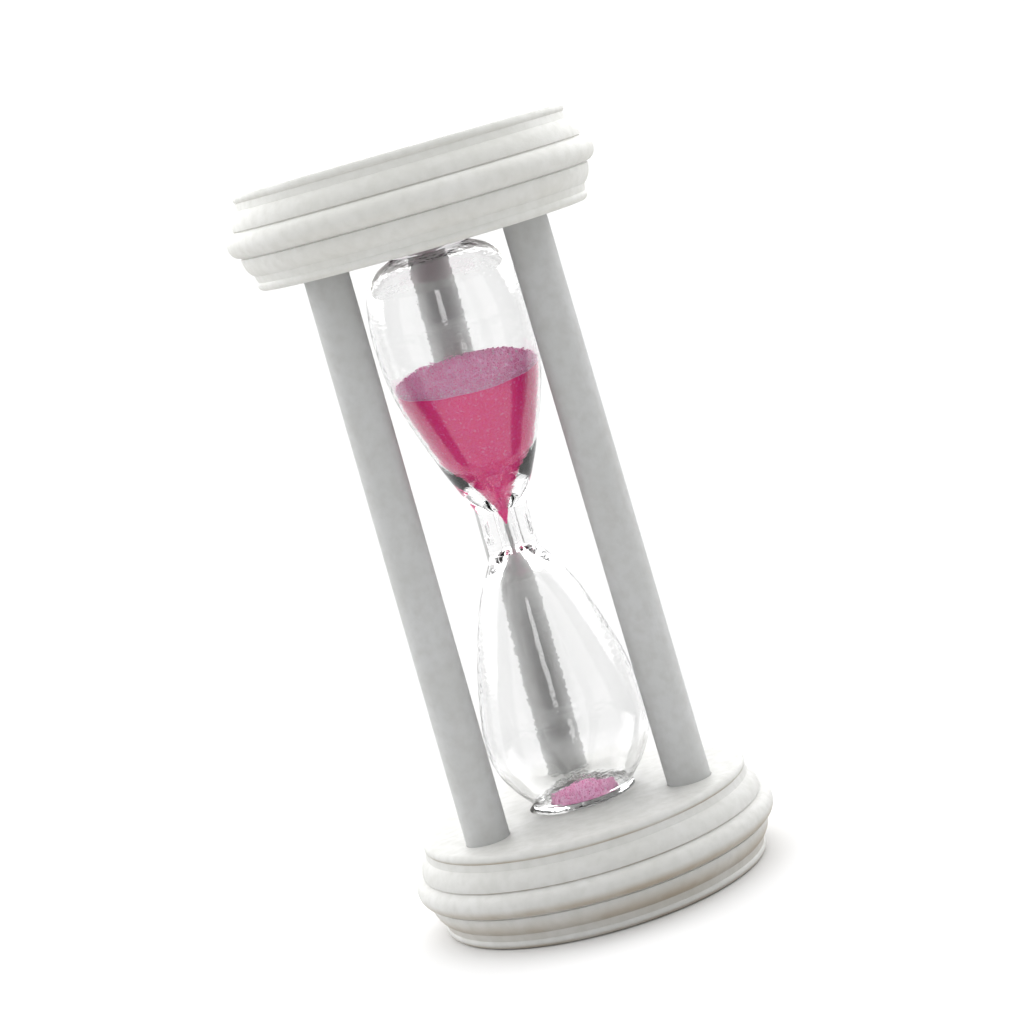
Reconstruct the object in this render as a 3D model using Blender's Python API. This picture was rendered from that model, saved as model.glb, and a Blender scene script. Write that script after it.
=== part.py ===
"""A small wooden sand timer.

Two identical turned plinths are held apart by three plain dowels. Between them stands a
one-piece glass vessel of two bulbs and a narrow throat, on a thin pad in a shallow seat at
each end. The sand is in three pieces: the charge in the upper bulb, the pinch that is
passing the throat, and the heap that has already fallen. The origin is on the floor under
the centre, +Z is up, and -Y is the front.
"""

import math

import bmesh
import bpy
from mathutils import Vector

MM = 0.001
GAP = 0.3 * MM  # clearance between neighbouring pieces

# Driving dimensions of the wooden frame
PLINTH_RADIUS = 25.0 * MM
PLINTH_HEIGHT = 13.0 * MM
INNER_HEIGHT = 77.5 * MM
DOWEL_RADIUS = 3.0 * MM
UPPER_DOWEL_CIRCLE = 15.3 * MM  # radius of the circle that the upper holes lie on
LOWER_DOWEL_CIRCLE = 16.2 * MM
DOWEL_DEPTH = 8.0 * MM
DOWEL_CHAMFER = 0.4 * MM
LOWER_TURN = math.radians(3.5)  # the lower plinth sits turned by this much under the upper
LOWER_SEAT_RADIUS = 7.5 * MM
UPPER_SEAT_RADIUS = 5.8 * MM
SEAT_DEPTH = 1.6 * MM

# Driving dimensions of the glass. Each bulb is a list of points of its outside, a radius and a
# height above or depth below the middle of the neck. The upper bulb ends in a dome, the lower
# one in a foot.
NECK_HEIGHT = 51.0 * MM
NECK_RADIUS = 3.4 * MM
NECK_HALF = 2.7 * MM
THROAT_RADIUS = 1.0 * MM
UPPER_BULB = [
    (3.8 * MM, 3.9 * MM), (6.7 * MM, 10.3 * MM), (9.9 * MM, 19.7 * MM), (10.8 * MM, 27.5 * MM),
    (10.3 * MM, 33.0 * MM), (9.3 * MM, 35.7 * MM), (7.6 * MM, 37.6 * MM), (5.4 * MM, 38.7 * MM),
]
LOWER_BULB = [
    (3.8 * MM, 3.7 * MM), (7.1 * MM, 9.9 * MM), (10.1 * MM, 19.6 * MM), (11.3 * MM, 27.5 * MM),
    (10.7 * MM, 31.5 * MM), (9.1 * MM, 34.5 * MM), (7.4 * MM, 36.6 * MM), (6.9 * MM, 37.2 * MM),
]
DOME_END_RADIUS = 5.0 * MM
FOOT_RADIUS = 7.1 * MM
END_IN_SEAT = 0.4 * MM  # how far each end of the glass reaches into its seat
WALL = 0.55 * MM
UPPER_CONE = (3.2 * MM, 0.72)  # where the throat starts to open, and how fast
LOWER_CONE = (2.4 * MM, 1.0)
FOOT_WALL = 0.8 * MM
DOME_WALL = 0.7 * MM
FILL_HOLE_RADIUS = 1.5 * MM

# Driving dimensions of the sand
SAND_LEVEL = 21.5 * MM  # above the middle of the neck, on the axis
SAND_SLOPE = math.radians(10.6)  # the surface falls towards the front
SAND_LEAN = math.radians(1.5)  # and a little towards +X
PINCH_HEIGHT = 2.4 * MM
PINCH_RISE = 0.8 * MM  # of its tip above the middle of the neck
PINCH_TOP_RADIUS = 0.7 * MM
PINCH_TIP_RADIUS = 0.35 * MM
HEAP_RADIUS = 4.6 * MM
HEAP_HEIGHT = 1.5 * MM

# How finely the round pieces are divided
WOOD_SEGMENTS = 48
GLASS_SEGMENTS = 32
SMALL_SEGMENTS = 24

# What follows from them
TOTAL_HEIGHT = 2 * PLINTH_HEIGHT + INNER_HEIGHT
MIDDLE = TOTAL_HEIGHT / 2
UPPER_FACE = TOTAL_HEIGHT - PLINTH_HEIGHT  # the upper plinth's lower face
UPPER_END = UPPER_FACE + END_IN_SEAT - NECK_HEIGHT  # of the glass, from the neck's middle
LOWER_END = NECK_HEIGHT - PLINTH_HEIGHT + END_IN_SEAT
PAD_THICKNESS = SEAT_DEPTH - END_IN_SEAT - 2 * GAP


def clear_scene():
    for old in list(bpy.data.objects):
        bpy.data.objects.remove(old)


def make_material(name, colour, roughness, transmission=0.0):
    material = bpy.data.materials.new(name)
    material.use_nodes = True
    shader = material.node_tree.nodes["Principled BSDF"]
    shader.inputs["Base Color"].default_value = (*colour, 1.0)
    shader.inputs["Roughness"].default_value = roughness
    shader.inputs["Metallic"].default_value = 0.0
    shader.inputs["Transmission Weight"].default_value = transmission
    return material


def add_object(name, bm, material):
    """Turns a bmesh into a smooth-shaded object whose sharp edges stay sharp."""
    mesh = bpy.data.meshes.new(name)
    bm.to_mesh(mesh)
    bm.free()
    mesh.shade_smooth()
    mesh.set_sharp_from_angle(angle=math.radians(35))
    mesh.materials.append(material)
    made = bpy.data.objects.new(name, mesh)
    bpy.context.scene.collection.objects.link(made)
    return made


def turned(outline, segments):
    """Turns an outline of (radius, height) points about +Z into a closed body.

    The outline starts and ends on the axis.
    """
    bm = bmesh.new()
    verts = [bm.verts.new((radius, 0, height)) for radius, height in outline]
    edges = [bm.edges.new(pair) for pair in zip(verts, verts[1:])]
    bmesh.ops.spin(
        bm, geom=verts + edges, cent=(0, 0, 0), axis=(0, 0, 1),
        angle=math.tau, steps=segments, use_merge=True,
    )
    bmesh.ops.remove_doubles(bm, verts=bm.verts, dist=0.001 * MM)
    bmesh.ops.recalc_face_normals(bm, faces=bm.faces)
    return bm


def arc(centre_radius, centre_height, across, along, start, end, steps):
    """Points of an elliptical arc; its angles are in degrees from straight outwards."""
    points = []
    for step in range(steps + 1):
        angle = math.radians(start + (end - start) * step / steps)
        points.append((
            centre_radius + across * math.cos(angle),
            centre_height + along * math.sin(angle),
        ))
    return points


def smooth_line(points, steps):
    """A Catmull-Rom curve through the points, with this many steps from one to the next."""
    ends = [points[0]] + points + [points[-1]]
    line = [Vector(points[0])]
    for before, start, end, after in zip(ends, ends[1:], ends[2:], ends[3:]):
        before, start, end, after = map(Vector, (before, start, end, after))
        for step in range(1, steps + 1):
            t = step / steps
            line.append(0.5 * (
                2 * start
                + (end - before) * t
                + (2 * before - 5 * start + 4 * end - after) * t**2
                + (3 * start - before - 3 * end + after) * t**3
            ))
    return line


# --- the wooden frame ---


def plinth_outline():
    """The moulding from the top face to the bottom face, about the plinth's middle height.

    From each face it runs over a small bead, a quirk, a swelling slope and a fine groove
    to the fat bead that goes round the middle.
    """
    half = PLINTH_HEIGHT / 2
    rim_bead = arc(PLINTH_RADIUS - 3.15 * MM, half - 0.7 * MM, 0.7 * MM, 0.7 * MM, 90, -40, 4)
    slope = arc(PLINTH_RADIUS - 3.2 * MM, 1.9 * MM, 1.9 * MM, 2.75 * MM, 65, 0, 4)
    groove = [(PLINTH_RADIUS - 1.45 * MM, 1.75 * MM)]
    middle_bead = arc(PLINTH_RADIUS - 1.35 * MM, 0, 1.35 * MM, 1.65 * MM, 75, -75, 8)
    upper = rim_bead + slope + groove
    lower = [(radius, -height) for radius, height in reversed(upper)]
    return [(0, half)] + upper + middle_bead + lower + [(0, -half)]


def dowel_ends(direction):
    """Lower and upper end of a dowel's axis; direction is in degrees from +X."""
    reach = INNER_HEIGHT / 2 + DOWEL_DEPTH
    ends = []
    places = ((-1, LOWER_TURN, LOWER_DOWEL_CIRCLE), (1, 0.0, UPPER_DOWEL_CIRCLE))
    for side, turn, circle in places:
        angle = math.radians(direction) + turn
        across = Vector((math.cos(angle), math.sin(angle), 0)) * circle
        ends.append(across + Vector((0, 0, MIDDLE + side * reach)))
    return ends


def dowel(name, direction, radius, spare, chamfer, material):
    """A dowel, or with a larger radius and spare length the cutter of its two holes."""
    low, high = dowel_ends(direction)
    bm = bmesh.new()
    bmesh.ops.create_cone(
        bm, cap_ends=True, segments=SMALL_SEGMENTS, radius1=radius, radius2=radius,
        depth=(high - low).length + 2 * spare,
    )
    if chamfer:
        rims = [e for e in bm.edges if e.calc_face_angle(0) > math.radians(60)]
        bmesh.ops.bevel(
            bm, geom=rims, offset=chamfer, segments=1, profile=0.5,
            affect="EDGES", material=-1,
        )
    made = add_object(name, bm, material)
    made.location = (low + high) / 2
    made.rotation_mode = "QUATERNION"
    made.rotation_quaternion = (high - low).to_track_quat("Z", "Y")
    return made


def make_frame(paint):
    directions = {"post_front_left": -150, "post_front_right": -30, "post_rear": 90}
    cutters = []
    for name, direction in directions.items():
        dowel(name, direction, DOWEL_RADIUS, 0, DOWEL_CHAMFER, paint)
        cutters.append(dowel(name + "_hole", direction, DOWEL_RADIUS + GAP, GAP, 0, paint))
    for name, radius, face in (
        ("lower_seat", LOWER_SEAT_RADIUS, PLINTH_HEIGHT),
        ("upper_seat", UPPER_SEAT_RADIUS, UPPER_FACE),
    ):
        bm = bmesh.new()
        bmesh.ops.create_cone(
            bm, cap_ends=True, segments=SMALL_SEGMENTS, radius1=radius, radius2=radius,
            depth=2 * SEAT_DEPTH,
        )
        seat = add_object(name, bm, paint)
        seat.location = (0, 0, face)
        cutters.append(seat)
    for cutter in cutters:
        cutter.hide_render = True
        cutter.display_type = "WIRE"
    for name, side in (("lower_plinth", -1), ("upper_plinth", 1)):
        plinth = add_object(name, turned(plinth_outline(), WOOD_SEGMENTS), paint)
        plinth.location = (0, 0, MIDDLE + side * (INNER_HEIGHT + PLINTH_HEIGHT) / 2)
        for cutter in cutters:
            cut = plinth.modifiers.new(cutter.name, "BOOLEAN")
            cut.operation = "DIFFERENCE"
            cut.solver = "EXACT"
            cut.object = cutter


# --- the glass ---


def bulb_wall(bulb):
    """The outside of one bulb as (radius, distance from the neck's middle), neck first."""
    return smooth_line([(NECK_RADIUS, 0), (NECK_RADIUS, NECK_HALF)] + bulb, 2)


def bulb_cavity(bulb, cone, floor):
    """The inside of the same bulb: the outside moved in, and a plain cone at the throat."""
    start, opening = cone
    wall = bulb_wall(bulb)
    inside = []
    for before, here, after in zip(wall, wall[1:], wall[2:]):
        along = (after - before).normalized()
        distance = here.y + along.x * WALL
        bore = THROAT_RADIUS + opening * max(distance - start, 0.0)
        inside.append(Vector((min(here.x - along.y * WALL, bore), distance)))
    inside = [point for point in inside if point.y < floor - 0.6 * MM]
    inside.append(Vector((inside[-1].x - 1.2 * MM, floor)))
    return [Vector((THROAT_RADIUS, 0))] + inside


def make_glass(glass):
    outside = {}
    inside = {}
    for side, bulb, cone, end, end_radius, end_wall in (
        (-1, LOWER_BULB, LOWER_CONE, LOWER_END, FOOT_RADIUS, FOOT_WALL),
        (1, UPPER_BULB, UPPER_CONE, UPPER_END, DOME_END_RADIUS, DOME_WALL),
    ):
        wall = [(p.x, side * p.y) for p in bulb_wall(bulb)[1:]]
        edge = bulb[-1][1] + END_IN_SEAT
        outside[side] = wall + [(end_radius, side * edge), (end_radius, side * end)]
        inside[side] = [(p.x, side * p.y) for p in bulb_cavity(bulb, cone, end - end_wall)[1:]]
    outline = [(0, -LOWER_END)] + outside[-1][::-1] + [(NECK_RADIUS, 0)] + outside[1]
    outline += [(FILL_HOLE_RADIUS, UPPER_END), (FILL_HOLE_RADIUS, UPPER_END - DOME_WALL)]
    outline += inside[1][::-1] + [(THROAT_RADIUS, 0)] + inside[-1]
    outline += [(0, FOOT_WALL - LOWER_END)]
    vessel = add_object("glass_vessel", turned(outline, GLASS_SEGMENTS), glass)
    vessel.location = (0, 0, NECK_HEIGHT)


def make_plug(cork):
    """The stopper in the hole that the vessel is filled through, flush with its top end."""
    radius = FILL_HOLE_RADIUS - GAP
    outline = [(0, 0), (radius, 0), (radius, DOME_WALL), (0, DOME_WALL)]
    plug = add_object("fill_plug", turned(outline, SMALL_SEGMENTS), cork)
    plug.location = (0, 0, NECK_HEIGHT + UPPER_END - DOME_WALL)


def make_pads(felt):
    """A thin pad behind each end of the glass takes up its uneven length."""
    for name, seat_radius, bottom in (
        ("lower_pad", LOWER_SEAT_RADIUS, PLINTH_HEIGHT - SEAT_DEPTH + GAP),
        ("upper_pad", UPPER_SEAT_RADIUS, UPPER_FACE + END_IN_SEAT + GAP),
    ):
        radius = seat_radius - GAP
        outline = [(0, 0), (radius, 0), (radius, PAD_THICKNESS), (0, PAD_THICKNESS)]
        pad = add_object(name, turned(outline, SMALL_SEGMENTS), felt)
        pad.location = (0, 0, bottom)


# --- the sand ---


def make_upper_sand(sand):
    """Fills the upper bulb from above the throat, and is cut off along its sloping top."""
    cavity = bulb_cavity(UPPER_BULB, UPPER_CONE, UPPER_END - DOME_WALL)
    bottom = PINCH_RISE + PINCH_HEIGHT + GAP
    filled = [p for p in cavity if p.x > THROAT_RADIUS + 0.3 * MM and p.y > bottom]
    wall = [(p.x - GAP, p.y) for p in filled]
    outline = [(0, bottom), (THROAT_RADIUS - GAP, bottom)] + wall + [(0, wall[-1][1])]
    bm = turned(outline, GLASS_SEGMENTS)
    normal = Vector((math.tan(SAND_LEAN), -math.tan(SAND_SLOPE), 1)).normalized()
    bmesh.ops.bisect_plane(
        bm, geom=bm.verts[:] + bm.edges[:] + bm.faces[:],
        plane_co=(0, 0, SAND_LEVEL), plane_no=normal, clear_outer=True,
    )
    bmesh.ops.holes_fill(bm, edges=[e for e in bm.edges if e.is_boundary])
    bmesh.ops.recalc_face_normals(bm, faces=bm.faces)
    made = add_object("upper_sand", bm, sand)
    made.location = (0, 0, NECK_HEIGHT)


def make_pinch(sand):
    """The pinch of sand in the throat. It falls straight down, so its origin is on the axis."""
    outline = [
        (0, 0), (PINCH_TIP_RADIUS, 0), (PINCH_TOP_RADIUS, PINCH_HEIGHT), (0, PINCH_HEIGHT),
    ]
    pinch = add_object("falling_sand", turned(outline, SMALL_SEGMENTS), sand)
    pinch.location = (0, 0, NECK_HEIGHT + PINCH_RISE)


def make_heap(sand):
    """A low mound on the floor of the lower bulb."""
    floor = NECK_HEIGHT - LOWER_END + FOOT_WALL + GAP
    mound = [
        (HEAP_RADIUS * share, HEAP_HEIGHT * (1 - share) ** 1.4 + 0.1 * MM)
        for share in (1.0, 0.85, 0.65, 0.45, 0.25, 0.1)
    ]
    outline = [(0, 0), (HEAP_RADIUS, 0)] + mound + [(0, HEAP_HEIGHT)]
    heap = add_object("lower_sand", turned(outline, SMALL_SEGMENTS), sand)
    heap.location = (0, 0, floor)


def main():
    clear_scene()
    paint = make_material("white_painted_wood", (0.80, 0.79, 0.76), 0.75)
    glass = make_material("clear_glass", (1.0, 1.0, 1.0), 0.02, transmission=1.0)
    cork = make_material("pale_cork", (0.62, 0.47, 0.32), 0.9)
    felt = make_material("white_felt", (0.80, 0.80, 0.78), 0.95)
    sand = make_material("pink_sand", (0.72, 0.09, 0.28), 0.7)
    make_frame(paint)
    make_glass(glass)
    make_plug(cork)
    make_pads(felt)
    make_upper_sand(sand)
    make_pinch(sand)
    make_heap(sand)


main()
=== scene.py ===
# %% [markdown]
# # A small wooden sand timer
# Two turned plinths, three dowels, one piece of blown glass and a charge of pink sand. The
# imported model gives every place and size. Each lesson below replaces one plain solid with the
# finished piece that a maker would recognise, and gives it a material built from nodes.

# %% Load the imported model
import math
import random

import bmesh
import bpy
from mathutils import Matrix, Vector, noise


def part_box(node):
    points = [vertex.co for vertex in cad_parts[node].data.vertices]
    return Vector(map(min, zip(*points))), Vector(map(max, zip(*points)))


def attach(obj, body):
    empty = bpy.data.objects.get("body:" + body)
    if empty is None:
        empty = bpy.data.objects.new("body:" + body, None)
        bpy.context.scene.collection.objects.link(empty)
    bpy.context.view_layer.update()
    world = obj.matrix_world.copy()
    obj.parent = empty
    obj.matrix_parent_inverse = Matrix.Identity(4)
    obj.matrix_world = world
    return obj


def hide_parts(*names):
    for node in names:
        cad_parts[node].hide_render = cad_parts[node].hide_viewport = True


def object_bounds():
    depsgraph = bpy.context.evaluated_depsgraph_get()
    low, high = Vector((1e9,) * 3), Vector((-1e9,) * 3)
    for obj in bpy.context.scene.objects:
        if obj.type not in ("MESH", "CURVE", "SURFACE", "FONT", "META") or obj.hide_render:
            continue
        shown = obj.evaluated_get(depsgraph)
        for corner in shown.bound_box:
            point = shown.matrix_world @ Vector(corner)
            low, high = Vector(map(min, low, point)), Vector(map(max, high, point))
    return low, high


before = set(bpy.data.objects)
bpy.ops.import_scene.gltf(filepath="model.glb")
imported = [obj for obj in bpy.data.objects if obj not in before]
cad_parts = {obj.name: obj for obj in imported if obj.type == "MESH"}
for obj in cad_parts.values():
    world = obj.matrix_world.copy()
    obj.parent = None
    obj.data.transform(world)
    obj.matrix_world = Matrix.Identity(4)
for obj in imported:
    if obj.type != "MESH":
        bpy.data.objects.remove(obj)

cad_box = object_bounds()
MM = 0.001
print("packed model", [round(side / MM, 1) for side in cad_box[1] - cad_box[0]], "mm")

# %% [markdown]
# ## Two helpers for materials
# A painter names colours by hex code, and Blender mixes light in linear values, so one function
# turns the one into the other. The other helper adds a node, sets what is typed in and plugs in
# what comes from elsewhere, so a whole material reads as a short list.

# %% Colour and node helpers
def hex_colour(code):
    """A colour such as "#E4DFD2" as linear red, green, blue and alpha."""
    parts = [int(code[i:i + 2], 16) / 255 for i in (1, 3, 5)]
    linear = [c / 12.92 if c <= 0.04045 else ((c + 0.055) / 1.055) ** 2.4 for c in parts]
    return (*linear, 1.0)


def add_node(tree, kind, settings=None, inputs=None, stops=()):
    """Adds a node. An input is a value, a hex colour or another node's output socket.

    Stops are the (position, hex colour) pairs of a colour ramp.
    """
    node = tree.nodes.new(kind)
    for name, value in (settings or {}).items():
        setattr(node, name, value)
    for name, value in (inputs or {}).items():
        socket = node.inputs[name]
        if isinstance(value, bpy.types.NodeSocket):
            tree.links.new(value, socket)
        else:
            socket.default_value = hex_colour(value) if isinstance(value, str) else value
    for number, (position, code) in enumerate(stops):
        elements = node.color_ramp.elements
        element = elements[number] if number < len(elements) else elements.new(position)
        element.position = position
        element.color = hex_colour(code)
    return node


def new_material(name):
    """An empty node material, its tree and the Object coordinates that its patterns use."""
    material = bpy.data.materials.new(name)
    material.use_nodes = True
    tree = material.node_tree
    tree.nodes.clear()
    place = add_node(tree, "ShaderNodeTexCoord").outputs["Object"]
    return material, tree, place


def finish_material(tree, settings):
    """The shader that ends a material, with what is plugged into it."""
    shader = add_node(tree, "ShaderNodeBsdfPrincipled", inputs=settings)
    add_node(tree, "ShaderNodeOutputMaterial", inputs={"Surface": shader.outputs["BSDF"]})


print("a half grey, #808080, is", round(hex_colour("#808080")[0], 3), "in linear values")

# %% [markdown]
# ## The camera
# The timer is seen from a little above with a long lens, and the camera is rolled, so the timer
# leans to the left in the view. The roll could be typed in as an angle, but three angles mix
# in an order that is easy to get wrong. Here the camera's own axes are worked out one by one:
# where it aims, what is beside it, what is above it, and then the last two are turned together.

# %% The camera
CAMERA_DISTANCE = 370.5 * MM
CAMERA_HEIGHT = 104.15 * MM
CAMERA_LENS = 98.3  # millimetres, on a sensor 36 mm wide
CAMERA_TURN = math.radians(0.23)
CAMERA_TILT = math.radians(7.86)
CAMERA_ROLL = math.radians(15.93)

camera_data = bpy.data.cameras.new("camera")
camera_data.lens = CAMERA_LENS
camera_data.sensor_width = 36
camera_data.clip_start = 0.01
camera = bpy.data.objects.new("camera", camera_data)
bpy.context.scene.collection.objects.link(camera)
bpy.context.scene.camera = camera

level = math.cos(CAMERA_TILT)
aim = Vector((
    math.sin(CAMERA_TURN) * level, math.cos(CAMERA_TURN) * level, -math.sin(CAMERA_TILT),
))
side = aim.cross(Vector((0, 0, 1))).normalized()
above = side.cross(aim)
side_rolled = side * math.cos(CAMERA_ROLL) - above * math.sin(CAMERA_ROLL)
above_rolled = side * math.sin(CAMERA_ROLL) + above * math.cos(CAMERA_ROLL)
camera.matrix_world = Matrix.LocRotScale(
    Vector((0, -CAMERA_DISTANCE, CAMERA_HEIGHT)),
    Matrix((side_rolled, above_rolled, -aim)).transposed(),
    None,
)
print("camera", [round(place / MM) for place in camera.location], "mm")

# %% [markdown]
# ## The floor
# A product stands on a card that runs on until it can't be told from the wall. One flat disc
# does that, if it is large enough. Its tone could be even, but then the light that the timer
# keeps off would grey the card around its foot. So the card is palest round the timer and
# darkens softly with the distance, and once more towards the camera, where it isn't seen.

# %% The floor
FLOOR_RADIUS = 6.0
FLOOR_DROP = 0.05 * MM  # keeps the card clear of the timer's foot
PALEST_PLACE = (0, -0.05, 0)
PALEST_RADIUS, EVEN_RADIUS = 0.08, 0.14
FRONT_START, FRONT_END = -0.13, -0.50

floor_mesh = bpy.data.meshes.new("floor")
bm = bmesh.new()
bmesh.ops.create_circle(bm, cap_ends=True, segments=96, radius=FLOOR_RADIUS)
bm.to_mesh(floor_mesh)
bm.free()
floor = bpy.data.objects.new("floor", floor_mesh)
bpy.context.scene.collection.objects.link(floor)
floor.location.z = -FLOOR_DROP

floor_card, tree, place = new_material("pale card that darkens towards the camera")
away = add_node(tree, "ShaderNodeVectorMath", {"operation": "DISTANCE"}, {
    0: place, 1: PALEST_PLACE,
})
share = add_node(tree, "ShaderNodeMapRange", {"interpolation_type": "SMOOTHSTEP"}, {
    "Value": away.outputs["Value"], "From Min": PALEST_RADIUS, "From Max": EVEN_RADIUS,
})
card = add_node(tree, "ShaderNodeValToRGB", inputs={"Fac": share.outputs["Result"]}, stops=[
    (0.0, "#D6D6D6"), (1.0, "#BABABA"),
])
front = add_node(tree, "ShaderNodeMapRange", {"interpolation_type": "SMOOTHSTEP"}, {
    "Value": add_node(tree, "ShaderNodeSeparateXYZ", inputs={"Vector": place}).outputs["Y"],
    "From Min": FRONT_START, "From Max": FRONT_END,
})
card = add_node(tree, "ShaderNodeMix", {"data_type": "RGBA"}, {
    0: front.outputs["Result"], 6: card.outputs["Color"], 7: "#A2A2A2",
})
finish_material(tree, {
    "Base Color": card.outputs[2], "Roughness": 0.9, "Specular IOR Level": 0.1,
})
floor_mesh.materials.append(floor_card)
print("floor", FLOOR_RADIUS * 2, "m across")

# %% [markdown]
# ## The light
# Clear glass only shows by what it bends and mirrors, so a studio for glass can't be evenly
# bright. A lamp for each light would leave hard edges in the glass. A sky that fades from one
# direction to the next gives soft ones: a bright wall behind, two soft boxes beside the camera,
# a dark gap between them, and a pale ceiling. One real lamp, a narrow strip, hangs in the dark
# gap and draws the long highlights.

# %% The light
STRIP_PLACE = (-0.1, -0.75, 0.38)
STRIP_WIDTH, STRIP_HEIGHT = 0.1, 0.5
STRIP_POWER = 0.7
DARK_GAP = 0.12


def soft_box(name, place, aim_at, width, height, power):
    """A rectangular lamp that hangs at a place and faces a point."""
    lamp = bpy.data.lights.new(name, "AREA")
    lamp.shape = "RECTANGLE"
    lamp.size = width
    lamp.size_y = height
    lamp.energy = power
    holder = bpy.data.objects.new(name, lamp)
    bpy.context.scene.collection.objects.link(holder)
    holder.location = place
    holder.rotation_mode = "QUATERNION"
    holder.rotation_quaternion = (Vector(place) - Vector(aim_at)).to_track_quat("Z", "Y")


middle = Vector((0, 0, cad_box[1].z / 2))
soft_box("front_strip", STRIP_PLACE, middle, STRIP_WIDTH, STRIP_HEIGHT, STRIP_POWER)

sky = bpy.data.worlds.new("studio_sky")
bpy.context.scene.world = sky
sky.use_nodes = True
tree = sky.node_tree
tree.nodes.clear()
way = add_node(tree, "ShaderNodeSeparateXYZ", inputs={
    "Vector": add_node(tree, "ShaderNodeTexCoord").outputs["Generated"],
})
sideways = add_node(tree, "ShaderNodeMath", {"operation": "ABSOLUTE"}, {
    0: way.outputs["X"],
}).outputs[0]
brightness = DARK_GAP
for along, start, end, strength in (
    (sideways, 0.31, 0.55, 1.0),  # soft boxes on both sides of the camera
    (way.outputs["Y"], -0.10, 0.35, 4.40),  # the wall behind
    (way.outputs["Z"], 0.30, 0.95, 1.80),  # the ceiling
    (way.outputs["Z"], 0.12, 0.05, 1.10),  # the foot of every wall
):
    fade = add_node(tree, "ShaderNodeMapRange", {"interpolation_type": "SMOOTHSTEP"}, {
        "Value": along, "From Min": start, "From Max": end,
    }).outputs["Result"]
    brightness = add_node(tree, "ShaderNodeMix", {"data_type": "FLOAT"}, {
        0: fade, 2: brightness, 3: strength,
    }).outputs[0]
backdrop = add_node(tree, "ShaderNodeBackground", inputs={"Strength": brightness})
backdrop.inputs["Color"].default_value = hex_colour("#FFFFFF")
add_node(tree, "ShaderNodeOutputWorld", inputs={"Surface": backdrop.outputs["Background"]})
bpy.context.scene.view_settings.view_transform = "Standard"

# %% [markdown]
# ## From an outline to a turned piece
# Plinths, glass and sand are all round, so one helper stands for the lathe: it spins an outline
# of (radius, height) points about the upright axis. A second helper draws a smooth line through
# the few points that a shape needs, as a maker would with a bent batten.

# %% The lathe and the batten
def smooth_line(points, steps):
    """A Catmull-Rom curve through the points, with this many steps from one to the next."""
    ends = [points[0]] + points + [points[-1]]
    line = [Vector(points[0])]
    for before, start, end, after in zip(ends, ends[1:], ends[2:], ends[3:]):
        before, start, end, after = map(Vector, (before, start, end, after))
        for step in range(1, steps + 1):
            t = step / steps
            line.append(0.5 * (
                2 * start
                + (end - before) * t
                + (2 * before - 5 * start + 4 * end - after) * t**2
                + (3 * start - before - 3 * end + after) * t**3
            ))
    return line


def arc(centre_radius, centre_height, across, along, start, end, steps):
    """Points of an elliptical arc; its angles are in degrees from straight outwards."""
    turns = [math.radians(start + (end - start) * step / steps) for step in range(steps + 1)]
    return [
        (centre_radius + across * math.cos(a), centre_height + along * math.sin(a))
        for a in turns
    ]


def turned(outline, segments):
    """Spins an outline that starts and ends on the axis into one closed body."""
    bm = bmesh.new()
    verts = [bm.verts.new((radius, 0, height)) for radius, height in outline]
    edges = [bm.edges.new(pair) for pair in zip(verts, verts[1:])]
    bmesh.ops.spin(
        bm, geom=verts + edges, cent=(0, 0, 0), axis=(0, 0, 1),
        angle=math.tau, steps=segments, use_merge=True,
    )
    bmesh.ops.remove_doubles(bm, verts=bm.verts, dist=0.0005 * MM)
    bmesh.ops.recalc_face_normals(bm, faces=bm.faces)
    return bm


def at_height(bm, height):
    """The same body, raised."""
    bmesh.ops.translate(bm, verts=bm.verts, vec=(0, 0, height))
    return bm


def add_piece(name, bm, material, body="timer", stands_for=(), sharp=40):
    """Makes a finished piece from a bmesh, rides it on its body and hides the parts that it
    replaces.
    """
    mesh = bpy.data.meshes.new(name)
    bm.to_mesh(mesh)
    bm.free()
    mesh.shade_smooth()
    mesh.set_sharp_from_angle(angle=math.radians(sharp))
    mesh.materials.append(material)
    piece = bpy.data.objects.new(name, mesh)
    bpy.context.scene.collection.objects.link(piece)
    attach(piece, body)
    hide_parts(*stands_for)
    print(name, len(mesh.polygons), "faces")


print("a quarter circle in 6 steps has", len(arc(0, 0, 1, 1, 0, 90, 6)), "points")

# %% [markdown]
# ## White paint on turned wood
# The plinths are turned from a pale softwood and sprayed with a thin matt white. The paint hides the
# colour of the wood but not its surface: the grain stands up a little, and the coat drifts between a
# cooler and a warmer white. Faces that look down are darkened towards a warm brown as painted shade,
# most of all on the lower plinth, which also gets a greyer copy of the paint as painted shade.
# A real coat is about 0.1 mm thick, so all of this is low relief and small changes of tone.

# %% The paint on the wood
def speckle(tree, place, size, detail=4.0, stretch=(1, 1, 1)):
    """Noise whose blotches are about this size in metres; stretch lengthens them per axis."""
    scaled = add_node(tree, "ShaderNodeMapping", inputs={
        "Vector": place, "Scale": [1 / (size * s) for s in stretch],
    })
    return add_node(tree, "ShaderNodeTexNoise", inputs={
        "Vector": scaled.outputs["Vector"], "Scale": 1.0, "Detail": detail,
    }).outputs["Fac"]


GRAIN_WIDTH = 0.5 * MM
PEEL_SIZE = 0.35 * MM  # of the fine pimples that spray leaves
DRIFT_SIZE = 9 * MM
MOTTLE_SIZE = 1.4 * MM


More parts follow.
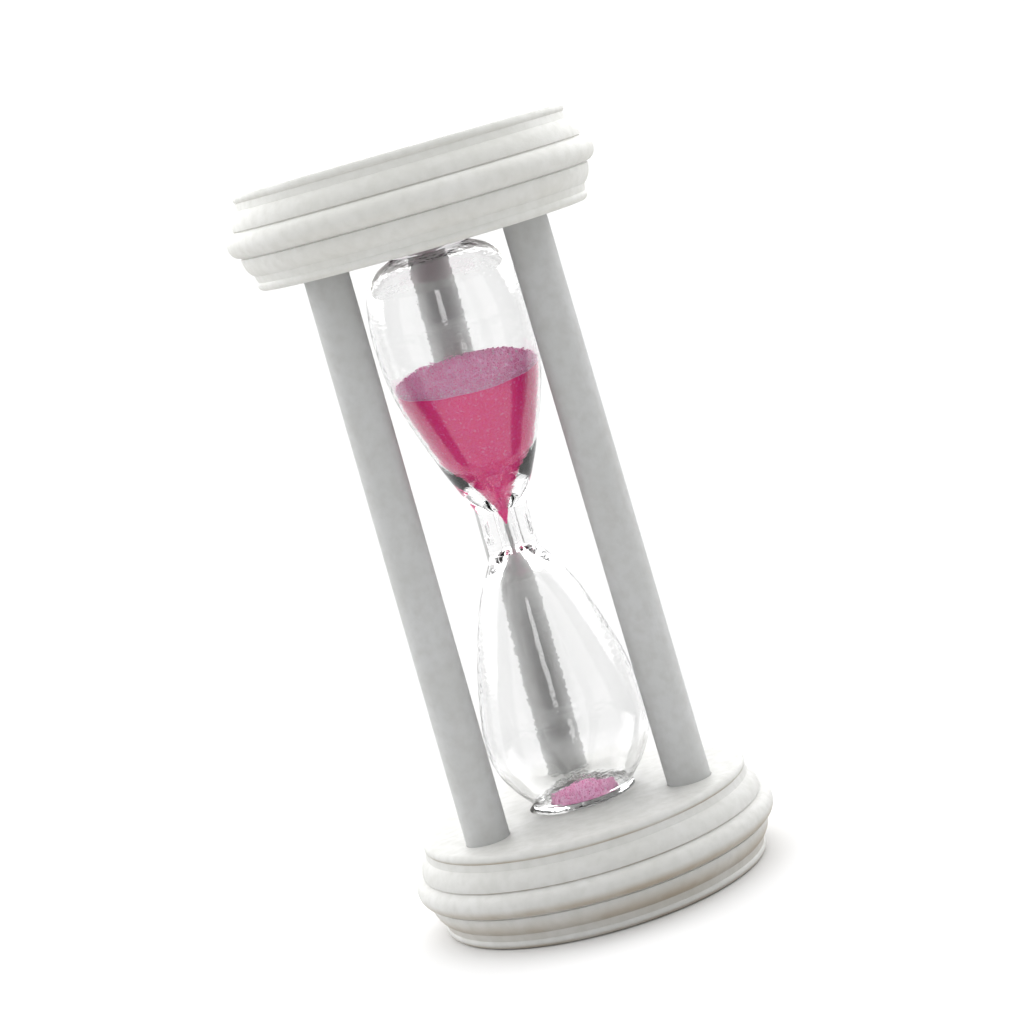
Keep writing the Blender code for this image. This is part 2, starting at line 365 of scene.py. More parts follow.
def painted_wood(name, tones, painted_shade_tone, painted_shade_strength, grain_stretch):
    """Matt paint in two drifting tones, with a mottle; faces that look down get painted shade in a
    warm tone.
    """
    material, tree, place = new_material(name)
    drift = speckle(tree, place, DRIFT_SIZE, detail=3)
    mottle = speckle(tree, place, MOTTLE_SIZE, detail=4)
    coat = add_node(tree, "ShaderNodeValToRGB", inputs={"Fac": drift}, stops=[
        (0.35, tones[0]), (0.65, tones[1]),
    ])
    patches = add_node(tree, "ShaderNodeMapRange", inputs={
        "Value": mottle, "From Min": 0.4, "From Max": 0.75, "To Max": 0.6,
    })
    mottled = add_node(tree, "ShaderNodeMix", {"data_type": "RGBA"}, {
        0: patches.outputs["Result"], 6: coat.outputs["Color"], 7: tones[2],
    })
    # Painted shade: faces that look down are mixed towards a warm brown, patchy with the drift.
    facing = add_node(tree, "ShaderNodeSeparateXYZ", inputs={
        "Vector": add_node(tree, "ShaderNodeNewGeometry").outputs["Normal"],
    })
    underside_shade = add_node(tree, "ShaderNodeMapRange", {"interpolation_type": "SMOOTHSTEP"}, {
        "Value": facing.outputs["Z"], "From Min": 0.05, "From Max": -0.6, "To Max": painted_shade_strength,
    })
    shade_patchiness = add_node(tree, "ShaderNodeMapRange", inputs={
        "Value": drift, "From Min": 0.35, "From Max": 0.65, "To Min": 0.55, "To Max": 1.0,
    })
    shade_share = add_node(tree, "ShaderNodeMath", {"operation": "MULTIPLY"}, {
        0: underside_shade.outputs["Result"], 1: shade_patchiness.outputs["Result"],
    })
    colour = add_node(tree, "ShaderNodeMix", {"data_type": "RGBA"}, {
        0: shade_share.outputs[0], 6: mottled.outputs[2], 7: painted_shade_tone,
    })
    raised_grain = add_node(tree, "ShaderNodeBump", inputs={
        "Height": speckle(tree, place, GRAIN_WIDTH, detail=5, stretch=grain_stretch),
        "Distance": 0.02 * MM,
    })
    peel = add_node(tree, "ShaderNodeBump", inputs={
        "Height": speckle(tree, place, PEEL_SIZE, detail=2), "Distance": 0.008 * MM,
        "Normal": raised_grain.outputs["Normal"],
    })
    mattness = add_node(tree, "ShaderNodeMapRange", inputs={
        "Value": mottle, "From Min": 0.3, "From Max": 0.7, "To Min": 0.5, "To Max": 0.66,
    })
    finish_material(tree, {
        "Base Color": colour.outputs[2], "Roughness": mattness.outputs["Result"], "IOR": 1.45,
        "Normal": peel.outputs["Normal"],
    })
    return material


FLAT_GRAIN = (1, 1, 0.35)
# The lower plinth's copy of the same paint is greyer and darker below: painted shade.
plinth_paints = {
    "lower_plinth": painted_wood(
        "matt white paint, greyer, with painted shade below", ("#BABAB8", "#B6B6B3", "#ACACA8"), "#8C7C64", 0.7,
        FLAT_GRAIN,
    ),
    "upper_plinth": painted_wood(
        "matt white paint on turned wood", ("#C7C7C4", "#C3C3BF", "#B9B9B4"), "#C8BFAE", 0.1,
        FLAT_GRAIN,
    ),
}
print("the grain under the paint is", GRAIN_WIDTH / MM, "mm wide")

# %% [markdown]
# ## The plinths
# A plinth is a disc with a moulding cut on the lathe: a thin bead at each rim, a quirk, a slope
# that swells, a fine groove, and a fat bead round the middle. Rings could be stacked and joined
# one by one, but the moulding is one line in the real wood, so it is one line here: three arcs,
# the bead in the middle and the three arcs mirrored, spun about the axis.

# %% The moulding
plinth_low, plinth_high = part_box("lower_plinth")
PLINTH_RADIUS = plinth_high.x
PLINTH_HEIGHT = plinth_high.z - plinth_low.z
TOTAL_HEIGHT = cad_box[1].z
UPPER_FACE = TOTAL_HEIGHT - PLINTH_HEIGHT
WOOD_SEGMENTS = 256


RIM_BEAD = 0.7 * MM
FACE_RADIUS = PLINTH_RADIUS - 3.15 * MM
FACE_RINGS = 8


def plinth_outline():
    """The moulding from the top face to the bottom face, about the plinth's middle height."""
    half = PLINTH_HEIGHT / 2
    face = [(FACE_RADIUS * ring / FACE_RINGS, half) for ring in range(FACE_RINGS)]
    rim_bead = arc(FACE_RADIUS, half - RIM_BEAD, RIM_BEAD, RIM_BEAD, 90, -40, 14)
    slope = arc(PLINTH_RADIUS - 3.2 * MM, 1.9 * MM, 1.9 * MM, 2.75 * MM, 65, 0, 12)
    groove = arc(PLINTH_RADIUS - 1.2 * MM, 1.75 * MM, 0.25 * MM, 0.12 * MM, 150, 210, 3)
    middle_bead = arc(PLINTH_RADIUS - 1.35 * MM, 0, 1.35 * MM, 1.65 * MM, 75, -75, 28)
    upper = face + rim_bead + slope + groove
    lower = [(radius, -height) for radius, height in reversed(upper)]
    return upper + middle_bead + lower


print("the moulding has", len(plinth_outline()), "points")

# %% [markdown]
# ## Holes and seats
# Each dowel stands in a blind hole in both plinths, and each end of the glass in a shallow
# seat. The plinths could be spun with their seats, but not with holes off the axis, so all of
# them are bored as on the drill press: a rod for each hole, taken away with Boolean modifiers
# while the plinth is still a blank. They are only a hair wider than what goes in.

# %% Rods, blanks and drills
DOWEL_RADIUS = 3.0 * MM
HOLE_SLACK = 0.06 * MM
FOOT_RADIUS = 7.1 * MM
DOME_END_RADIUS = 5.0 * MM
FOOT_SEAT_SLACK = 0.15 * MM
DOME_SEAT_SLACK = 0.8 * MM
SEAT_DEPTH = 1.6 * MM
DOWELS = ("post_front_left", "post_front_right", "post_rear")


def dowel_axis(node):
    """The two ends of a dowel's axis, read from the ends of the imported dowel."""
    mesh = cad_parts[node].data
    lowest = min(v.co.z for v in mesh.vertices)
    highest = max(v.co.z for v in mesh.vertices)
    ends = []
    for limit in (lowest, highest):
        rim = [v.co for v in mesh.vertices if abs(v.co.z - limit) < 0.2 * MM]
        ends.append(sum(rim, Vector()) / len(rim))
    return ends


def rod(low, high, radius, segments, rings=1):
    """A round rod between two points, with rings of faces along it."""
    bm = bmesh.new()
    length = (high - low).length
    bmesh.ops.create_cone(
        bm, cap_ends=True, segments=segments, radius1=radius, radius2=radius, depth=length,
    )
    if rings > 1:
        long_edges = [e for e in bm.edges if abs(e.verts[0].co.z - e.verts[1].co.z) > length / 2]
        bmesh.ops.subdivide_edges(bm, edges=long_edges, cuts=rings - 1)
    lean = (high - low).to_track_quat("Z", "Y").to_matrix().to_4x4()
    bmesh.ops.transform(
        bm, matrix=Matrix.Translation((low + high) / 2) @ lean, verts=bm.verts,
    )
    return bm


def spare_object(name, bm):
    """An object for the workshop only: a blank or a drill, removed when the boring is done."""
    mesh = bpy.data.meshes.new(name)
    bm.to_mesh(mesh)
    bm.free()
    made = bpy.data.objects.new(name, mesh)
    bpy.context.scene.collection.objects.link(made)
    return made


def drill(name, centre, radius):
    """A drill for a seat in a plinth's inner face."""
    reach = Vector((0, 0, SEAT_DEPTH))
    return spare_object(name, rod(centre - reach, centre + reach, radius, 128))


for node in DOWELS:
    low, high = dowel_axis(node)
    print(node, "is", round((high - low).length / MM, 1), "mm long")

# %% Bore both plinths
drills = [
    drill("foot_seat", Vector((0, 0, PLINTH_HEIGHT)), FOOT_RADIUS + FOOT_SEAT_SLACK),
    drill("dome_seat", Vector((0, 0, UPPER_FACE)), DOME_END_RADIUS + DOME_SEAT_SLACK),
]
for node in DOWELS:
    low, high = dowel_axis(node)
    drills.append(spare_object(node + "_hole", rod(low, high, DOWEL_RADIUS + HOLE_SLACK, 64)))

for node, centre in (
    ("lower_plinth", PLINTH_HEIGHT / 2), ("upper_plinth", TOTAL_HEIGHT - PLINTH_HEIGHT / 2),
):
    blank = spare_object(node + "_blank", at_height(turned(plinth_outline(), WOOD_SEGMENTS), centre))
    for cutter in drills:
        bore = blank.modifiers.new(cutter.name, "BOOLEAN")
        bore.operation = "DIFFERENCE"
        bore.solver = "EXACT"
        bore.object = cutter
    bpy.context.view_layer.update()
    bored = bmesh.new()
    bored.from_object(blank, bpy.context.evaluated_depsgraph_get())
    bpy.data.objects.remove(blank)
    add_piece(
        node.replace("plinth", "turned_plinth"), bored, plinth_paints[node],
        stands_for=[node],
    )
for cutter in drills:
    bpy.data.objects.remove(cutter)

# %% [markdown]
# ## The dowels
# The dowels are bought by the metre and not turned, so their grain runs straight along them and
# shows as fine streaks under the same paint, which is given greyer tones on them as painted shade.
# Each one leans a little, as glued by hand. A cylinder turned by its object would lean too, but its
# paint would lean with it, so each rod is built leaning, and only its two rims are bevelled.

# %% Three dowels
DOWEL_EDGE = 0.3 * MM
DOWEL_RINGS = 40
# The dowels' copy of the white paint is greyer: painted shade.
dowel_paint = painted_wood(
    "matt white paint on dowel, greyed as painted shade", ("#AFB0B0", "#AAABAA", "#A1A09E"), "#9F9C96", 0.3, (1, 1, 16),
)
for node in DOWELS:
    low, high = dowel_axis(node)
    bm = rod(low, high, DOWEL_RADIUS, 96, rings=DOWEL_RINGS)
    rims = [e for e in bm.edges if e.calc_face_angle(0) > math.radians(60)]
    bmesh.ops.bevel(
        bm, geom=rims, offset=DOWEL_EDGE, segments=3, profile=0.5, affect="EDGES", material=-1,
    )
    add_piece(
        node.replace("post", "dowel"), bm, dowel_paint, stands_for=[node],
    )

# %% [markdown]
# ## The glass
# The vessel is drawn over a flame from one piece of tube. The neck is where the hot glass runs
# together, so the wall is thick there and thin in the bulbs. A single skin with a thickness
# added later would be even all over. So the outline goes round the wall, up the outside and
# back down the inside, because glass looks as it does by what both surfaces do to the light.
# It was made by hand, so it bows a little to one side.

# %% The outline of the vessel
NECK_HEIGHT = 51.0 * MM
END_IN_SEAT = 0.4 * MM
UPPER_END = UPPER_FACE + END_IN_SEAT - NECK_HEIGHT
LOWER_END = NECK_HEIGHT - PLINTH_HEIGHT + END_IN_SEAT
NECK_RADIUS = 3.4 * MM
NECK_HALF = 2.7 * MM
THROAT_RADIUS = 0.95 * MM
WALL = 0.45 * MM
UPPER_CONE = (3.2 * MM, 0.78)  # where the throat starts to open, and how fast
LOWER_CONE = (2.4 * MM, 1.0)
BLEND = 0.5 * MM
FOOT_WALL, FOOT_CORNER = 0.8 * MM, 0.9 * MM  # the bottom, and how high its corner rounds
DOME_WALL, DOME_CORNER = 0.7 * MM, 0.3 * MM
EDGE_RADIUS = 0.3 * MM
RIM_RISE = 0.4 * MM
FILL_HOLE_RADIUS = 1.5 * MM
GLASS_SEGMENTS = 160
UPPER_BULB = [
    (3.8 * MM, 3.9 * MM), (6.7 * MM, 10.3 * MM), (9.9 * MM, 19.7 * MM), (10.8 * MM, 27.5 * MM),
    (10.3 * MM, 33.0 * MM), (9.3 * MM, 35.7 * MM), (7.6 * MM, 37.6 * MM), (5.4 * MM, 38.7 * MM),
]
LOWER_BULB = [
    (3.8 * MM, 3.7 * MM), (7.1 * MM, 9.9 * MM), (10.1 * MM, 19.6 * MM), (11.3 * MM, 27.5 * MM),
    (10.7 * MM, 31.5 * MM), (9.1 * MM, 34.5 * MM), (7.4 * MM, 36.6 * MM), (6.9 * MM, 37.2 * MM),
]


def bulb_wall(bulb):
    """The outside of one bulb as (radius, distance from the neck's middle), neck first."""
    return smooth_line([(NECK_RADIUS, 0), (NECK_RADIUS, NECK_HALF)] + bulb, 12)


def soft_min(one, other):
    """The smaller of two lengths, with the corner between them rounded off."""
    share = max(BLEND - abs(one - other), 0) / BLEND
    return min(one, other) - share * share * BLEND / 4


def bulb_cavity(bulb, cone, floor_at, corner_height):
    """The inside of the same bulb: the outside moved in, and a plain cone at the throat."""
    start, opening = cone
    wall = bulb_wall(bulb)
    inside = []
    for before, here, after in zip(wall, wall[1:], wall[2:]):
        along = (after - before).normalized()
        distance = here.y + along.x * WALL
        bore = THROAT_RADIUS + opening * max(distance - start, 0.0)
        inside.append(Vector((soft_min(here.x - along.y * WALL, bore), distance)))
    inside = [point for point in inside if point.y < floor_at - corner_height]
    corner = inside[-1]
    across = 0.25 * corner.x
    rounding = arc(corner.x - across, corner.y, across, floor_at - corner.y, 12, 90, 10)
    return [Vector((THROAT_RADIUS, 0))] + inside + [Vector(point) for point in rounding]


lower_cavity = bulb_cavity(LOWER_BULB, LOWER_CONE, LOWER_END - FOOT_WALL, FOOT_CORNER)
upper_cavity = bulb_cavity(UPPER_BULB, UPPER_CONE, UPPER_END - DOME_WALL, DOME_CORNER)


def vessel_outline():
    """From the foot up the outside to the dome, in at the filling hole and down the inside."""
    outside = {}
    inside = {}
    for way, bulb, cavity, end, end_radius in (
        (-1, LOWER_BULB, lower_cavity, LOWER_END, FOOT_RADIUS),
        (1, UPPER_BULB, upper_cavity, UPPER_END, DOME_END_RADIUS),
    ):
        edge = arc(end_radius - EDGE_RADIUS, end - EDGE_RADIUS, EDGE_RADIUS, EDGE_RADIUS, 0, 90, 6)
        rim = [(end_radius, bulb[-1][1] + RIM_RISE)]
        wall = [tuple(p) for p in bulb_wall(bulb)[1:]] + rim + edge
        outside[way] = [(radius, way * distance) for radius, distance in wall]
        inside[way] = [(p.x, way * p.y) for p in cavity[1:]]
    outline = [(0, -LOWER_END)] + outside[-1][::-1] + [(NECK_RADIUS, 0)] + outside[1]
    outline += [(FILL_HOLE_RADIUS, UPPER_END), (FILL_HOLE_RADIUS, UPPER_END - DOME_WALL)]
    outline += inside[1][::-1] + [(THROAT_RADIUS, 0)] + inside[-1]
    return outline + [(0, FOOT_WALL - LOWER_END)]


def bow(height):
    """How far the glass, and the sand in it, stands to +X at a height."""
    distance = height - NECK_HEIGHT
    share = distance / UPPER_END if distance > 0 else -distance / LOWER_END
    return (0.35 + 0.3 * math.sin(math.pi * min(share, 1)) + 0.1 * share**4) * MM


def bowed(bm):
    """The same body, moved sideways with the glass at each height."""
    for vert in bm.verts:
        vert.co.x += bow(vert.co.z)
    return bm


print("the bulbs reach", [round(end / MM, 1) for end in (LOWER_END, UPPER_END)], "mm from the neck")

# %% [markdown]
# ## Soda glass
# Soda glass from a lamp is clear, with an IOR of 1.5, and smooth but never quite true: long
# waves from the drawing and fine ripples from the flame, which show as trembling edges in what
# it mirrors. Waves deep enough to see as shape are moved in the mesh. The rest is only a few
# hundredths of a millimetre high, so it is relief in the material.

# %% Clear glass, and the vessel
LONG_WAVES = 5 * MM
RIPPLES = 1.1 * MM
clear_glass, tree, place = new_material("clear lamp-blown soda glass")
waves = speckle(tree, place, LONG_WAVES, detail=1.5, stretch=(1, 1, 1.6))
long_relief = add_node(tree, "ShaderNodeBump", inputs={"Height": waves, "Distance": 0.035 * MM})
ripples = speckle(tree, place, RIPPLES, detail=2, stretch=(1.6, 1.6, 0.7))
relief = add_node(tree, "ShaderNodeBump", inputs={
    "Height": ripples, "Distance": 0.028 * MM, "Normal": long_relief.outputs["Normal"],
})
haze = add_node(tree, "ShaderNodeMapRange", inputs={
    "Value": waves, "From Min": 0.3, "From Max": 0.7, "To Max": 0.02,
})
finish_material(tree, {
    "Base Color": "#F7F7F7",
    "Roughness": haze.outputs["Result"],
    "IOR": 1.5,
    "Transmission Weight": 1.0,
    "Normal": relief.outputs["Normal"],
})

WOBBLE, WOBBLE_SIZE = 0.06 * MM, 6 * MM
vessel = at_height(turned(vessel_outline(), GLASS_SEGMENTS), NECK_HEIGHT)
for vert in vessel.verts:
    outward = Vector((vert.co.x, vert.co.y, 0))
    if outward.length > THROAT_RADIUS:
        vert.co += outward.normalized() * noise.noise(vert.co / WOBBLE_SIZE) * WOBBLE
print("the vessel has", len(vessel.faces), "faces")

# %% [markdown]
# ## Air in the neck
# Where the tube was worked together it shut in a little air, and the pull drew each bubble out
# along the neck. A white mark on the glass would look painted on. A real bubble is a surface
# where the glass ends, so each is a long sphere inside the wall with its faces turned inwards.

# %% Air in the neck
def add_bubble(bm, place, radius, length):
    """A bubble that was drawn out with the glass; its faces point into the air."""
    shape = Matrix.Translation(place) @ Matrix.Diagonal((radius, radius, length / 2, 1))
    made = bmesh.ops.create_uvsphere(bm, u_segments=20, v_segments=14, radius=1, matrix=shape)
    faces = {face for vert in made["verts"] for face in vert.link_faces}
    bmesh.ops.reverse_faces(bm, faces=list(faces))


BUBBLES = [  # across, towards the rear, above the middle of the neck, radius and length in mm
    (-2.1, -0.6, 1.0, 0.28, 2.6), (1.4, 1.5, -0.6, 0.2, 2.2), (2.3, -0.9, 0.4, 0.22, 3.0),
    (-1.2, 1.9, -1.0, 0.16, 1.4), (0.5, -2.2, -1.9, 0.12, 0.7), (-0.6, -2.4, -2.3, 0.1, 0.4),
]
for across, back, up, radius, length in BUBBLES:
    centre = Vector((across * MM, back * MM, NECK_HEIGHT + up * MM))
    add_bubble(vessel, centre, radius * MM, length * MM)
add_piece(
    "blown_glass", bowed(vessel), clear_glass, stands_for=["glass_vessel"],
)

# %% [markdown]
# ## The sand
# Dyed quartz sand, sieved to about a quarter of a millimetre, with a little glitter in it. The body
# of each charge is one closed shape that follows the glass; single grains lie on its top, where the
# light shows them one by one. Quartz is clear under its dye. The top, which the light strikes at a
# slant, and the grains on it are given paler tones than the sides that are seen through the glass:
# painted light.

# %% Pink sand
GRAIN = 0.25 * MM


def sand_material(name, tones, lit_top_tone, sheen):
    """Grains of four tones; where the surface faces up, a paler tone is mixed in as painted light.
    """
    material, tree, place = new_material(name)
    scaled = add_node(tree, "ShaderNodeMapping", inputs={
        "Vector": place, "Scale": [1 / GRAIN] * 3,
    })
    cells = add_node(tree, "ShaderNodeTexVoronoi", inputs={
        "Vector": scaled.outputs["Vector"], "Scale": 1.0,
    })
    draw = add_node(tree, "ShaderNodeSeparateColor", inputs={"Color": cells.outputs["Color"]})
    each = add_node(tree, "ShaderNodeValToRGB", inputs={"Fac": draw.outputs["Red"]}, stops=[
        (0.0, tones[0]), (0.55, tones[1]), (0.93, tones[2]), (0.98, tones[3]),
    ])
    # Painted light: faces that look up are paled towards the lit top tone.
    facing = add_node(tree, "ShaderNodeSeparateXYZ", inputs={
        "Vector": add_node(tree, "ShaderNodeNewGeometry").outputs["Normal"],
    })
    lit_top_share = add_node(tree, "ShaderNodeMapRange", inputs={
        "Value": facing.outputs["Z"], "From Min": 0.3, "From Max": 0.9, "To Max": 0.9,
    })
    colour = add_node(tree, "ShaderNodeMix", {"data_type": "RGBA"}, {
        0: lit_top_share.outputs["Result"], 6: each.outputs["Color"], 7: lit_top_tone,
    })
    relief = add_node(tree, "ShaderNodeBump", inputs={
        "Height": cells.outputs["Distance"], "Distance": 0.05 * MM,
    })
    gloss = add_node(tree, "ShaderNodeMapRange", inputs={
        "Value": draw.outputs["Green"], "To Min": 0.3, "To Max": 0.8,
    })
    finish_material(tree, {
        "Base Color": colour.outputs[2], "Roughness": gloss.outputs["Result"], "IOR": 1.54,
        "Specular IOR Level": 0.15, "Sheen Weight": sheen, "Sheen Roughness": 0.4,
        "Sheen Tint": "#FFD2E8", "Normal": relief.outputs["Normal"],
    })
    return material


pink_sand = sand_material(
    "dyed quartz sand", ("#FF0C82", "#FF148C", "#FF3098", "#FF60B0"), "#FFB8EA", 0.08,
)
print("a grain is", GRAIN / MM, "mm")

# %% [markdown]
# ## The charge in the upper bulb
# The sand lies against the glass all round, and its top slopes as it came to rest. A solid cut
# from the bulb would need a Boolean with hundreds of thin slivers. Instead a plain cylinder is
# spun, and each of its rings is moved: the rings of the lid out to the glass at the height of
# the slope, and the rings of the wall down along the glass.

# %% The charge in the upper bulb
SAND_LEVEL = 21.5 * MM
SAND_SLOPE = math.radians(10.6)
SAND_LEAN = math.radians(1.5)
SAND_SLACK = 0.03 * MM
DIP_SIZE, DIP_DEPTH = 3.5 * MM, 0.18 * MM
CHARGE_SEGMENTS = 144
TOP_RINGS, WALL_RINGS = 40, 90
RIM_ROUNDS = 12
pinch_low, pinch_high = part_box("falling_sand")
SAND_BOTTOM = pinch_high.z - NECK_HEIGHT


def cavity_radius(cavity, distance):
    """The inner radius of a bulb at a distance from the neck's middle."""
    for nearer, farther in zip(cavity, cavity[1:]):
        if nearer.y <= distance <= farther.y:
            share = (distance - nearer.y) / max(farther.y - nearer.y, 1e-9)
            return nearer.x + (farther.x - nearer.x) * share
    return cavity[0].x if distance < cavity[0].y else cavity[-1].x


def surface_height(x, y):
    """The sloping top of the charge, with the small dips that shaking leaves."""
    dips = noise.noise(Vector((x, y, 0)) / DIP_SIZE) * DIP_DEPTH
    plane = SAND_LEVEL - math.tan(SAND_LEAN) * x + math.tan(SAND_SLOPE) * y
    return plane + dips


def charge_body():
    """Spins a template, then moves each ring out to the sloping top or down the glass.

    The rim lies on the glass at a height that depends on how far out the glass is there, so
    the two are worked out in turns until they agree.
    """
    template = [(step / TOP_RINGS, 1) for step in range(TOP_RINGS + 1)]
    template += [(1, 1 - step / WALL_RINGS) for step in range(1, WALL_RINGS + 1)] + [(0, 0)]
    bm = turned(template, CHARGE_SEGMENTS)
    for vert in bm.verts:
        x, y, way_up = vert.co
        spread = math.hypot(x, y)
        around = Vector((x, y, 0)) / spread if spread > 1e-6 else Vector()
        rim_height = SAND_LEVEL
        for _ in range(RIM_ROUNDS):
            reach = cavity_radius(upper_cavity, rim_height) - SAND_SLACK
            rim_height = surface_height(around.x * reach, around.y * reach)
        if way_up > 0.999:
            here = around * reach * spread
            vert.co = (here.x, here.y, surface_height(here.x, here.y))
        else:
            height = SAND_BOTTOM + (rim_height - SAND_BOTTOM) * way_up
            reach = cavity_radius(upper_cavity, height) - SAND_SLACK
            vert.co = (around.x * reach * spread, around.y * reach * spread, height)
    bmesh.ops.recalc_face_normals(bm, faces=bm.faces)
    return bowed(at_height(bm, NECK_HEIGHT))


add_piece("upper_sand_charge", charge_body(), pink_sand, stands_for=["upper_sand"])

# %% [markdown]
# ## Loose grains
# On a smooth top the sand would look poured and set. Single grains, each with its own size and
# turn, break up the edge and catch the light. A particle system could scatter them, but its
# copies are no part of the mesh. So a loop with a fixed seed scatters them, the same way each
# time. A grain is far too small to show facets, so the coarsest sphere is enough for each.

# %% Loose grains
UPPER_GRAINS, UPPER_REACH = 4400, 10.5 * MM
HANDFUL = 100


def add_grain(bm, place, size, draw):
    """One grain: an icosphere squeezed and turned at random."""
    squeeze = Matrix.Diagonal([size * draw.uniform(0.7, 1.2) for _ in range(3)] + [1.0])
    turn = Matrix.Rotation(draw.uniform(0, math.tau), 4, Vector(
        [draw.uniform(-1, 1) for _ in range(3)]
    ))
    bmesh.ops.create_icosphere(
        bm, subdivisions=1, radius=0.5, matrix=Matrix.Translation(place) @ turn @ squeeze,
    )


def scatter(count, reach, height_at, keep_off, draw):
    """Grains spread evenly over a round surface, each sunk by a third of its size.

    They are made in handfuls, because a small bmesh is quick to add to.
    """
    every_grain = bmesh.new()
    pan = bpy.data.meshes.new("pan")
    handful = bmesh.new()
    for number in range(count):
        out = reach * math.sqrt(draw.random())
        way = draw.uniform(0, math.tau)
        x, y = out * math.cos(way), out * math.sin(way)
        size = GRAIN * draw.uniform(0.75, 1.25)
        if not keep_off(x, y):
            add_grain(handful, (x, y, height_at(x, y) + size * 0.15), size, draw)
        if number % HANDFUL == HANDFUL - 1:
            handful.to_mesh(pan)
            every_grain.from_mesh(pan)
            handful.clear()
    handful.free()
    bpy.data.meshes.remove(pan)
    return bowed(every_grain)


def outside_upper_bulb(x, y):
    """Whether a grain would stick out into the glass."""
    limit = cavity_radius(upper_cavity, surface_height(x, y)) - SAND_SLACK - GRAIN * 0.6
    return math.hypot(x, y) > limit


draw = random.Random(11)
grains = scatter(
    UPPER_GRAINS, UPPER_REACH, lambda x, y: NECK_HEIGHT + surface_height(x, y),
    outside_upper_bulb, draw,
)
# The grains on the top get paler tones than the sand's body: painted light, with a few near-white
# grains.
glitter_and_lit_top_sand = sand_material(
    "dyed quartz sand with glitter, paler as painted light", ("#FF74BC", "#FF9CD2", "#FFC4E6", "#FFF4FA"), "#FFBCE8", 1.0,
)
add_piece("upper_sand_grains", grains, glitter_and_lit_top_sand, sharp=20)

# %% [markdown]
# ## The heap
# The first sand to fall has spread on the floor of the lower bulb as a low mound with a ragged
# edge. Loose grains alone would need many thousands to hide the glass below, so a low body
# carries them: a thin disc whose lid is raised to the mound and whose edge is pushed in and out.

# %% The heap
heap_low, heap_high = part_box("lower_sand")
HEAP_RADIUS = heap_high.x
HEAP_HEIGHT = heap_high.z - heap_low.z
GLASS_FLOOR = NECK_HEIGHT - LOWER_END + FOOT_WALL
HEAP_DIP_SIZE, HEAP_DIP_DEPTH = 1.6 * MM, 0.12 * MM
HEAP_EDGE = 0.12 * MM  # as high as half a grain
HEAP_RINGS = 30
HEAP_GRAINS = 1000


def heap_height(x, y):
    """A low mound that the falling sand has built, with a soft top."""
    out = math.hypot(x, y) / HEAP_RADIUS
    mound = HEAP_HEIGHT * 0.9 * max(1 - out * out, 0) ** 1.4
    dips = noise.noise(Vector((x, y, 5 * MM)) / HEAP_DIP_SIZE) * HEAP_DIP_DEPTH
    return GLASS_FLOOR + HEAP_EDGE + mound + dips * min(1, 3 * max(1 - out, 0))


def heap_body():
    """Spins a disc, then gives it the mound and the ragged edge."""
    template = [(step / HEAP_RINGS, 1) for step in range(HEAP_RINGS + 1)] + [(1, 0), (0, 0)]
    bm = turned(template, 96)
    for vert in bm.verts:
        x, y, way_up = vert.co
        ragged = 1 + 0.05 * noise.noise(Vector((x, y, 0)) * 2.2)
        x, y = x * HEAP_RADIUS * ragged * 0.97, y * HEAP_RADIUS * ragged * 0.97
        vert.co = (x, y, heap_height(x, y) if way_up > 0.5 else GLASS_FLOOR + 0.05 * MM)
    bmesh.ops.recalc_face_normals(bm, faces=bm.faces)
    return bowed(bm)


# The heap gets paler tones than the body of the same sand: painted light.
heap_sand = sand_material(
    "dyed quartz sand on the heap, paler as painted light", ("#FF92D0", "#FFA8DA", "#FFC8E8", "#FFF0F8"), "#FFC4EA", 0.9,
)
add_piece("lower_sand_heap", heap_body(), heap_sand, stands_for=["lower_sand"])
grains = scatter(HEAP_GRAINS, HEAP_RADIUS * 1.02, heap_height, lambda x, y: False, draw)
add_piece("lower_sand_grains", grains, heap_sand, sharp=20)

# %% [markdown]
# ## The pinch in the throat
# The sand on its way down fills the top of the throat and runs out to a point. It is the one
# piece that moves, straight down to the heap, so it rides on its own body. A stream of falling
# grains would have to stretch as it moves. A short drop keeps its shape all the way.

# %% The pinch in the throat
PINCH_FILL = 0.92  # of the throat's radius
PINCH_POINT = 0.12  # of the drop's radius
PINCH_STEPS = 12


def pinch_body():
    """A drop that is widest at the top and narrows evenly to its point."""
    height = pinch_high.z - pinch_low.z
    widest = THROAT_RADIUS * PINCH_FILL
    side = [
        (widest * (PINCH_POINT + (1 - PINCH_POINT) * share), height * share)
        for share in (step / PINCH_STEPS for step in range(PINCH_STEPS + 1))
    ]
    bm = at_height(turned([(0, 0)] + side + [(0, height)], 48), pinch_low.z)
    bmesh.ops.translate(bm, verts=bm.verts, vec=(bow(NECK_HEIGHT), 0, 0))
    return bm


add_piece(
    "falling_pinch", pinch_body(), pink_sand, body="falling_sand",
    stands_for=["falling_sand"],
)

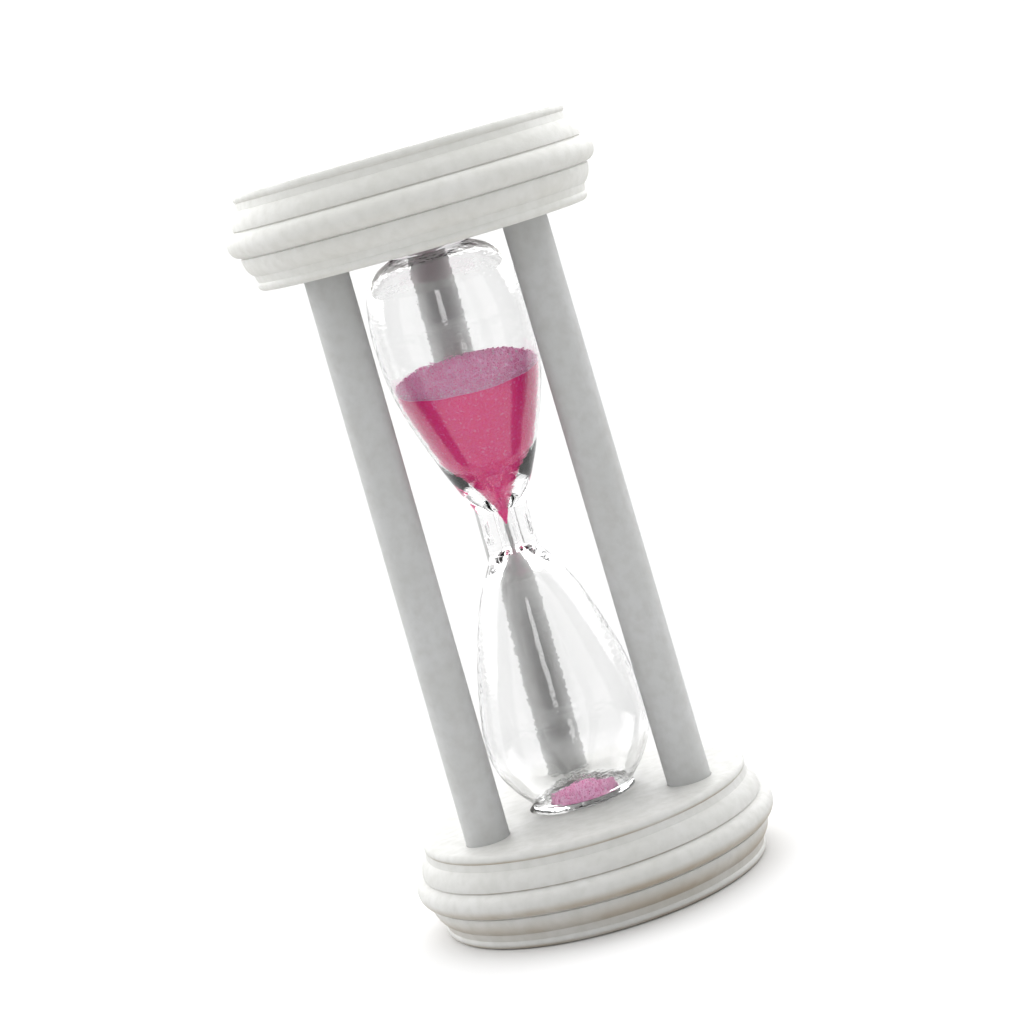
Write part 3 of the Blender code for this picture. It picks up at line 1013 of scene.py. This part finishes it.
# %% [markdown]
# ## What the plinths hide
# A cork closes the hole that the vessel was filled through, and a felt disc lies between each
# end of the glass and the wood. Both could be modelled again, but a plug and two discs are right
# as they come, so they only get their own materials. The cork is pressed from crumbs of about
# 0.8 mm, each a little lighter or darker. The felt is wool, so it is matt with a soft bloom.

# %% Cork and felt
CORK_CRUMB = 0.8 * MM
cork, tree, place = new_material("agglomerated cork")
scaled = add_node(tree, "ShaderNodeMapping", inputs={
    "Vector": place, "Scale": [1 / CORK_CRUMB] * 3,
})
crumbs = add_node(tree, "ShaderNodeTexVoronoi", inputs={
    "Vector": scaled.outputs["Vector"], "Scale": 1.0,
})
crumb = add_node(tree, "ShaderNodeSeparateColor", inputs={"Color": crumbs.outputs["Color"]})
bark = add_node(tree, "ShaderNodeValToRGB", inputs={"Fac": crumb.outputs["Red"]}, stops=[
    (0.0, "#8A5E3C"), (0.5, "#BE935F"), (1.0, "#D9B584"),
])
dryness = add_node(tree, "ShaderNodeMapRange", inputs={
    "Value": crumb.outputs["Green"], "To Min": 0.75, "To Max": 0.95,
})
relief = add_node(tree, "ShaderNodeBump", inputs={
    "Height": crumbs.outputs["Distance"], "Distance": 0.05 * MM,
})
finish_material(tree, {
    "Base Color": bark.outputs["Color"], "Roughness": dryness.outputs["Result"],
    "Normal": relief.outputs["Normal"],
})

felt, tree, place = new_material("pressed white felt")
fibres = speckle(tree, place, 0.25 * MM, detail=6)
wool = add_node(tree, "ShaderNodeValToRGB", inputs={"Fac": fibres}, stops=[
    (0.3, "#D6D5D0"), (0.7, "#F0EFEB"),
])
fuzz = add_node(tree, "ShaderNodeMapRange", inputs={
    "Value": fibres, "From Min": 0.3, "From Max": 0.7, "To Min": 0.85, "To Max": 1.0,
})
relief = add_node(tree, "ShaderNodeBump", inputs={"Height": fibres, "Distance": 0.06 * MM})
finish_material(tree, {
    "Base Color": wool.outputs["Color"], "Roughness": fuzz.outputs["Result"],
    "Sheen Weight": 0.3, "Normal": relief.outputs["Normal"],
})

for node, material in (("fill_plug", cork), ("lower_pad", felt), ("upper_pad", felt)):
    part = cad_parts[node]
    part.data.materials.clear()
    part.data.materials.append(material)
    print(node, "is", material.name)
